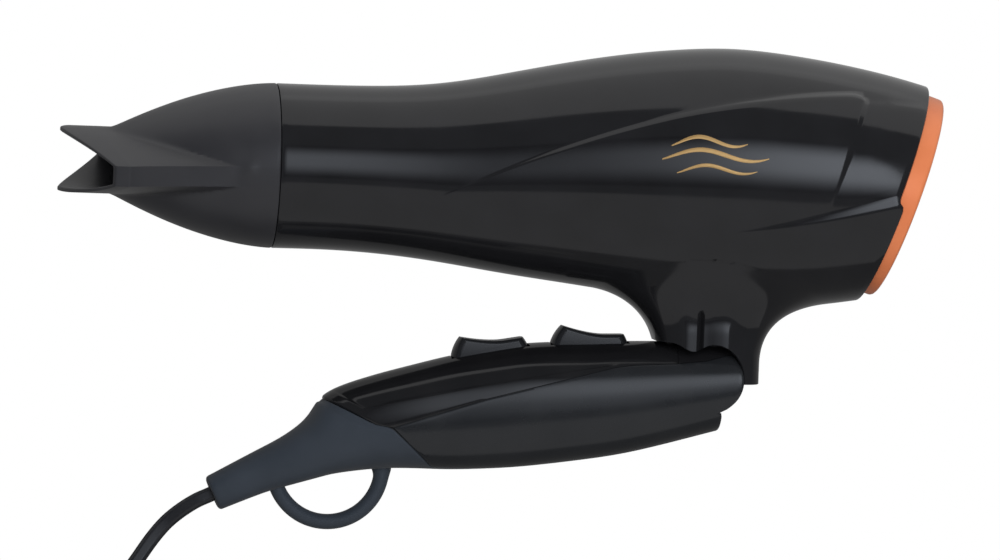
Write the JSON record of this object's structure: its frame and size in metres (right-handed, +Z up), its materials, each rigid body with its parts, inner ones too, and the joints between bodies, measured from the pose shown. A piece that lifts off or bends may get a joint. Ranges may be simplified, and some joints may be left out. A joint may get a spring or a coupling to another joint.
{
  "type": "travel hair dryer",
  "caption": "Folding travel hair dryer lying folded on its side, with a concentrator nozzle, copper inlet ring, rocker switches, hanging loop and coiled mains cord.",
  "frame": {"origin": "centre of the dryer's footprint on the surface it lies on, measured without the cord", "axes": "+Z up, +X back along the barrel from the nozzle to the air inlet (the barrel leans 2 degrees up to the back), +Y to the top of the barrel; the dryer lies on its right side"},
  "size_m": [0.29, 0.2821, 0.0785],
  "materials": {
    "gloss_black": "high gloss moulded plastic",
    "satin_black": "satin moulded plastic",
    "copper_trim": "satin copper paint",
    "boot_rubber": "matt rubber",
    "inner_plastic": "matt moulded plastic",
    "filter_mesh": "fine nylon mesh",
    "mica": "pressed mica",
    "heating_metal": "oxidised resistance wire",
    "steel": "zinc plated steel",
    "diode_black": "moulded epoxy",
    "lead_insulation": "soft PVC insulation",
    "capacitor_yellow": "moulded box",
    "cord_pvc": "satin PVC",
    "tie_black": "matt plastic",
    "pin_nickel": "nickel plated brass"
  },
  "bodies": {
    "barrel": {"barrel_shell_left": "gloss_black", "barrel_shell_right": "gloss_black", "shell_screws": "steel", "rear_trim_ring": "copper_trim", "rear_grille": "inner_plastic", "lint_filter": "filter_mesh", "outlet_grille": "inner_plastic", "heat_shield": "mica", "heater_cards": "mica", "heating_wire": "heating_metal", "thermostat": "steel", "thermal_fuse": "steel", "fan_duct": "inner_plastic", "motor": "steel", "motor_diodes": "diode_black", "barrel_leads": "lead_insulation", "hinge_block": "inner_plastic", "hinge_washers": "steel"},
    "nozzle": {"concentrator_nozzle": "satin_black"},
    "fan": {"fan_impeller": "inner_plastic", "motor_shaft": "steel"},
    "speed_switch": {"speed_rocker": "gloss_black"},
    "heat_switch": {"heat_rocker": "gloss_black"},
    "handle": {"handle_back_shell": "satin_black", "handle_front_cover": "gloss_black", "handle_screws": "steel", "speed_switch_body": "inner_plastic", "heat_switch_body": "inner_plastic", "interference_capacitor": "capacitor_yellow", "handle_leads": "lead_insulation", "cord_clamp": "inner_plastic", "clamp_screws": "steel", "hinge_pin": "steel", "hinge_cap": "gloss_black", "cord_boot": "boot_rubber", "power_cord": "cord_pvc", "cord_coil": "cord_pvc", "cord_tie": "tie_black", "plug_body": "cord_pvc", "plug_pins": "pin_nickel"}
  },
  "joints": [
    {"name": "handle_fold", "type": "hinge", "parent": "barrel", "child": "handle", "pos_m": [0.07153, -0.02707, 0.02374], "axis": [-0.034, -0.2284, 0.973], "range_deg": [0, 66]},
    {"name": "nozzle_spin", "type": "hinge", "parent": "barrel", "child": "nozzle", "pos_m": [-0.0739, 0.0365, 0.03358], "axis": [0.9994, 0, 0.0349], "continuous": true},
    {"name": "fan_spin", "type": "hinge", "parent": "barrel", "child": "fan", "pos_m": [0.09999, 0.0365, 0.03965], "axis": [0.9994, 0, 0.0349], "continuous": true},
    {"name": "speed_rock", "type": "hinge", "parent": "handle", "child": "speed_switch", "pos_m": [0.00092, -0.02418, 0.02195], "axis": [-0.034, -0.2284, 0.973], "range_deg": [0, 18]},
    {"name": "heat_rock", "type": "hinge", "parent": "handle", "child": "heat_switch", "pos_m": [0.03325, -0.02074, 0.02389], "axis": [-0.034, -0.2284, 0.973], "range_deg": [0, 18]}
  ]
}
